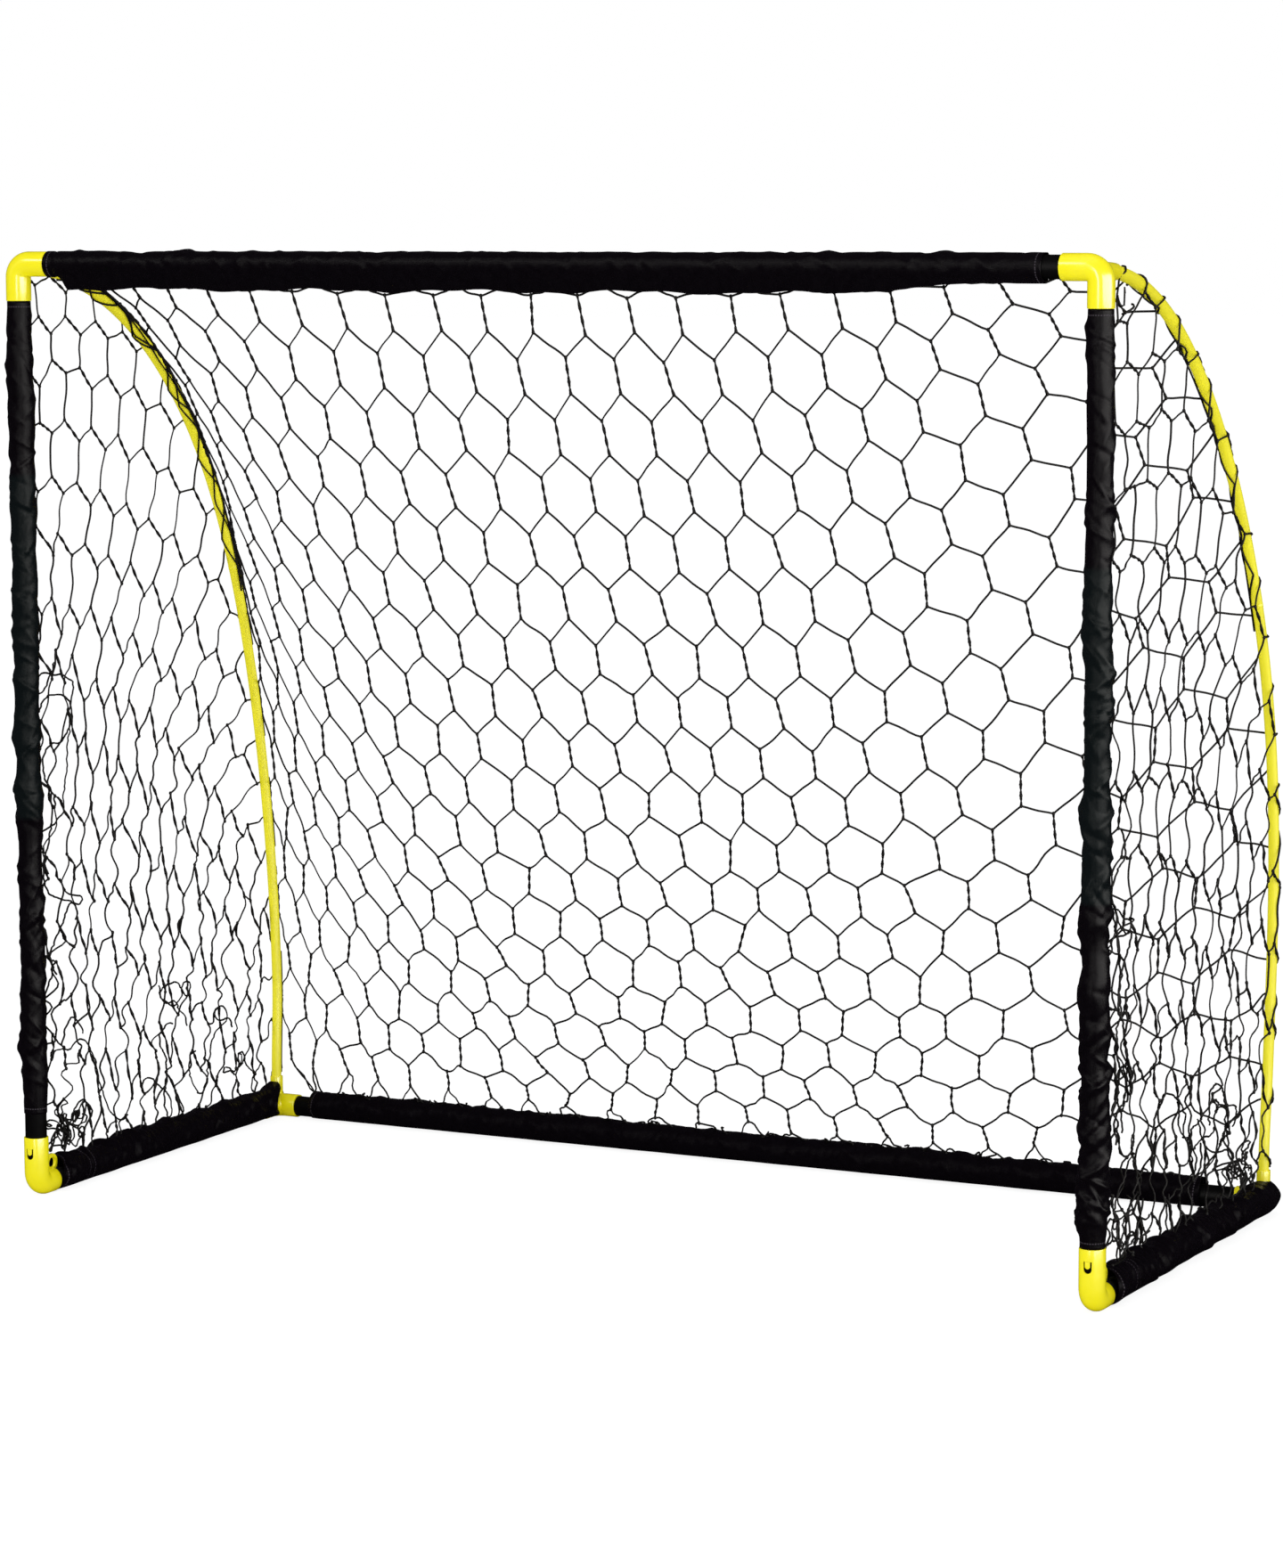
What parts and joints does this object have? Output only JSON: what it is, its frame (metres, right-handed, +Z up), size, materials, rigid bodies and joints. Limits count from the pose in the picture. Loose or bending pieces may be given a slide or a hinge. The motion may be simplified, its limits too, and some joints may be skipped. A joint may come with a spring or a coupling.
{
  "type": "soccer goal",
  "caption": "Folding pop-up soccer goal: tube frame with moulded corners and gathered cloth sleeves, bowed rear poles, and a honeycomb net over the back and sides.",
  "frame": {"origin": "on the ground, in the middle of the goal's outline", "axes": "+X along the crossbar to the right hand as seen from the field, +Y from the mouth to the back, +Z up"},
  "size_m": [1.882, 0.7906, 1.5239],
  "materials": {
    "yellow_plastic": "glossy moulded",
    "pole": "smooth drawn rod",
    "coated_tube": "satin black coat",
    "bare_steel": "drawn",
    "hinge_nylon": "matte moulded",
    "sleeve_cloth": "woven with a slight sheen",
    "twine": "twisted twine"
  },
  "bodies": {
    "front_frame": {"crossbar_sleeve": "sleeve_cloth", "crossbar_spigot": "bare_steel", "crossbar_tube_left": "coated_tube", "crossbar_tube_right": "coated_tube", "foot_elbow_left": "yellow_plastic", "foot_elbow_right": "yellow_plastic", "hinge_cuff_left": "sleeve_cloth", "hinge_cuff_right": "sleeve_cloth", "hinge_fork_left": "hinge_nylon", "hinge_fork_right": "hinge_nylon", "hinge_pin_left": "bare_steel", "hinge_pin_right": "bare_steel", "lower_pole_left": "pole", "lower_pole_right": "pole", "lower_post_left": "coated_tube", "lower_post_right": "coated_tube", "pole_ferrule_left": "bare_steel", "pole_ferrule_right": "bare_steel", "post_sleeve_left": "sleeve_cloth", "post_sleeve_right": "sleeve_cloth", "post_spigot_left": "bare_steel", "post_spigot_right": "bare_steel", "rear_net": "twine", "side_net_left": "twine", "side_net_right": "twine", "top_corner_left": "yellow_plastic", "top_corner_right": "yellow_plastic", "upper_pole_left": "pole", "upper_pole_right": "pole", "upper_post_left": "coated_tube", "upper_post_right": "coated_tube"},
    "base_frame": {"hinge_blade_left": "hinge_nylon", "hinge_blade_right": "hinge_nylon", "rear_corner_left": "yellow_plastic", "rear_corner_right": "yellow_plastic", "rear_sleeve": "sleeve_cloth", "rear_spigot": "bare_steel", "rear_tube_left": "coated_tube", "rear_tube_right": "coated_tube", "side_sleeve_left": "sleeve_cloth", "side_sleeve_right": "sleeve_cloth", "side_tube_left": "coated_tube", "side_tube_right": "coated_tube"},
    "tongue_left": {"snap_tongue_left": "yellow_plastic"},
    "tongue_right": {"snap_tongue_right": "yellow_plastic"}
  },
  "joints": [
    {"name": "base_fold", "type": "hinge", "parent": "front_frame", "child": "base_frame", "pos_m": [0, -0.29473, 0.01935], "axis": [1, 0, 0], "range_deg": [0, 90], "stiffness_Nm_per_rad": 4, "springref_deg": -57.3, "deforming": ["rear_net", "side_net_left", "side_net_right", "upper_pole_left", "upper_pole_right", "lower_pole_left", "lower_pole_right", "pole_ferrule_left", "pole_ferrule_right", "hinge_cuff_left", "hinge_cuff_right"]},
    {"name": "tongue_left_flex", "type": "hinge", "parent": "front_frame", "child": "tongue_left", "pos_m": [-0.915, -0.39367, 0.0798], "axis": [-1, 0, 0], "range_deg": [0, 12], "stiffness_Nm_per_rad": 0.3},
    {"name": "tongue_right_flex", "type": "hinge", "parent": "front_frame", "child": "tongue_right", "pos_m": [0.915, -0.39367, 0.0798], "axis": [-1, 0, 0], "range_deg": [0, 12], "stiffness_Nm_per_rad": 0.3}
  ]
}
